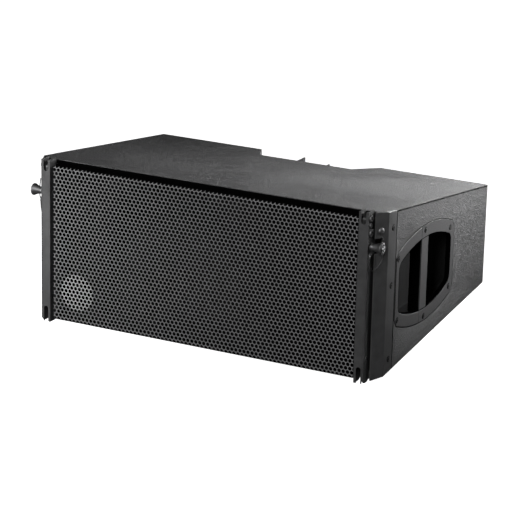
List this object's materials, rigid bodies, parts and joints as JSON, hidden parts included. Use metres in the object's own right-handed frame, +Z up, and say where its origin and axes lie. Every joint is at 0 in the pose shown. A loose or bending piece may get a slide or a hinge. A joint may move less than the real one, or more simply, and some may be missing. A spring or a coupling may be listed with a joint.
{
  "type": "line array speaker",
  "caption": "Wedge-shaped line array loudspeaker cabinet with front grille, side handles, lifting strands, sliding links, locking pins and internal drivers.",
  "frame": {"origin": "under the middle of the object's box, level with the foot of the front strands, on which the front edge stands", "axes": "+X to the right as seen from behind the cabinet's front looking back, +Y from the grille to the rear, +Z up, with the front vertical"},
  "size_m": [0.714, 0.48, 0.31],
  "materials": {
    "cabinet_paint": "multiplex plywood under a black impact-resistant textured paint with a fine orange-peel grain",
    "bare_plywood": "bare birch plywood, sealed, unseen inside",
    "rigging_paint": "folded steel, satin black powder coat",
    "grille_paint": "perforated steel sheet, satin black powder coat",
    "acoustic_foam": "open-cell black foam behind the grille",
    "link_steel": "blackened steel flat bar",
    "pin_steel": "turned steel, dark burnished, satin",
    "button_steel": "turned stainless steel, satin",
    "lanyard_sleeve": "thin steel wire in a black sleeve",
    "handle_moulding": "black glass-filled moulding, fine matt grain",
    "horn_moulding": "black moulding, matt",
    "basket_casting": "cast metal basket, dark, matt",
    "magnet_steel": "black passivated magnet and pole steel",
    "cone_paper": "coated black paper cone",
    "surround_rubber": "half-roll surround, matt black",
    "circuit_board": "fibreglass board with coils and capacitors"
  },
  "bodies": {
    "root": {"bottom_panel": "cabinet_paint", "chamber_wall_left": "bare_plywood", "chamber_wall_right": "bare_plywood", "compression_driver_lower": "magnet_steel", "compression_driver_upper": "magnet_steel", "connector_plate": "rigging_paint", "corner_plate_left": "rigging_paint", "corner_plate_right": "rigging_paint", "crossover_board": "circuit_board", "front_grille": "grille_paint", "front_strand_left": "rigging_paint", "front_strand_right": "rigging_paint", "grille_foam": "acoustic_foam", "guide_bolt_left": "pin_steel", "guide_bolt_right": "pin_steel", "handle_cup_left": "handle_moulding", "handle_cup_right": "handle_moulding", "handle_front_frame_left": "handle_moulding", "handle_front_frame_right": "handle_moulding", "handle_rear_frame_left": "handle_moulding", "handle_rear_frame_right": "handle_moulding", "input_socket": "horn_moulding", "lanyard_left": "lanyard_sleeve", "lanyard_right": "lanyard_sleeve", "lanyard_screw_left": "pin_steel", "lanyard_screw_right": "pin_steel", "mid_baffle": "bare_plywood", "mid_basket": "basket_casting", "mid_horn": "horn_moulding", "mid_magnet": "magnet_steel", "output_socket": "horn_moulding", "rear_panel_left": "cabinet_paint", "rear_panel_right": "cabinet_paint", "rear_pivot_bolt": "pin_steel", "rear_strand": "rigging_paint", "recess_panel": "cabinet_paint", "side_panel_left": "cabinet_paint", "side_panel_right": "cabinet_paint", "top_panel": "cabinet_paint", "waveguide": "horn_moulding", "woofer_baffle_left": "bare_plywood", "woofer_baffle_right": "bare_plywood", "woofer_basket_left": "basket_casting", "woofer_basket_right": "basket_casting", "woofer_magnet_left": "magnet_steel", "woofer_magnet_right": "magnet_steel", "woofer_surround_left": "surround_rubber", "woofer_surround_right": "surround_rubber"},
    "front_link_left": {"front_link_left": "link_steel"},
    "front_link_right": {"front_link_right": "link_steel"},
    "locking_pin_left": {"locking_pin_left": "pin_steel"},
    "locking_pin_right": {"locking_pin_right": "pin_steel"},
    "locking_pin_rear": {"locking_pin_rear": "pin_steel"},
    "pin_button_left": {"pin_button_left": "button_steel"},
    "pin_button_right": {"pin_button_right": "button_steel"},
    "pin_button_rear": {"pin_button_rear": "button_steel"},
    "rear_link": {"rear_link": "link_steel"},
    "woofer_cone_left": {"woofer_cone_left": "cone_paper"},
    "woofer_cone_right": {"woofer_cone_right": "cone_paper"},
    "mid_cone": {"mid_cone": "cone_paper"}
  },
  "joints": [
    {"name": "front_link_left_rise", "type": "slide", "parent": "root", "child": "front_link_left", "axis": [0, 0, 1], "range_m": [0, 0.065]},
    {"name": "locking_pin_left_pull", "type": "slide", "parent": "root", "child": "locking_pin_left", "axis": [-1, 0, 0], "range_m": [0, 0.045]},
    {"name": "pin_button_left_press", "type": "slide", "parent": "locking_pin_left", "child": "pin_button_left", "axis": [1, 0, 0], "range_m": [0, 0.003], "stiffness_N_per_m": 400},
    {"name": "woofer_cone_left_travel", "type": "slide", "parent": "root", "child": "woofer_cone_left", "axis": [0.2588, -0.9659, 0], "range_m": [-0.005, 0.005], "stiffness_N_per_m": 2500},
    {"name": "front_link_right_rise", "type": "slide", "parent": "root", "child": "front_link_right", "axis": [0, 0, 1], "range_m": [0, 0.065]},
    {"name": "locking_pin_right_pull", "type": "slide", "parent": "root", "child": "locking_pin_right", "axis": [1, 0, 0], "range_m": [0, 0.045]},
    {"name": "pin_button_right_press", "type": "slide", "parent": "locking_pin_right", "child": "pin_button_right", "axis": [-1, 0, 0], "range_m": [0, 0.003], "stiffness_N_per_m": 400},
    {"name": "woofer_cone_right_travel", "type": "slide", "parent": "root", "child": "woofer_cone_right", "axis": [-0.2588, -0.9659, 0], "range_m": [-0.005, 0.005], "stiffness_N_per_m": 2500},
    {"name": "mid_cone_travel", "type": "slide", "parent": "root", "child": "mid_cone", "axis": [0, -1, 0], "range_m": [-0.003, 0.003], "stiffness_N_per_m": 2500},
    {"name": "locking_pin_rear_pull", "type": "slide", "parent": "root", "child": "locking_pin_rear", "axis": [1, 0, 0], "range_m": [0, 0.05]},
    {"name": "pin_button_rear_press", "type": "slide", "parent": "locking_pin_rear", "child": "pin_button_rear", "axis": [-1, 0, 0], "range_m": [0, 0.003], "stiffness_N_per_m": 400},
    {"name": "rear_link_swing", "type": "hinge", "parent": "root", "child": "rear_link", "pos_m": [0, 0.208, 0.233], "axis": [1, 0, 0], "range_deg": [0, 180]}
  ]
}
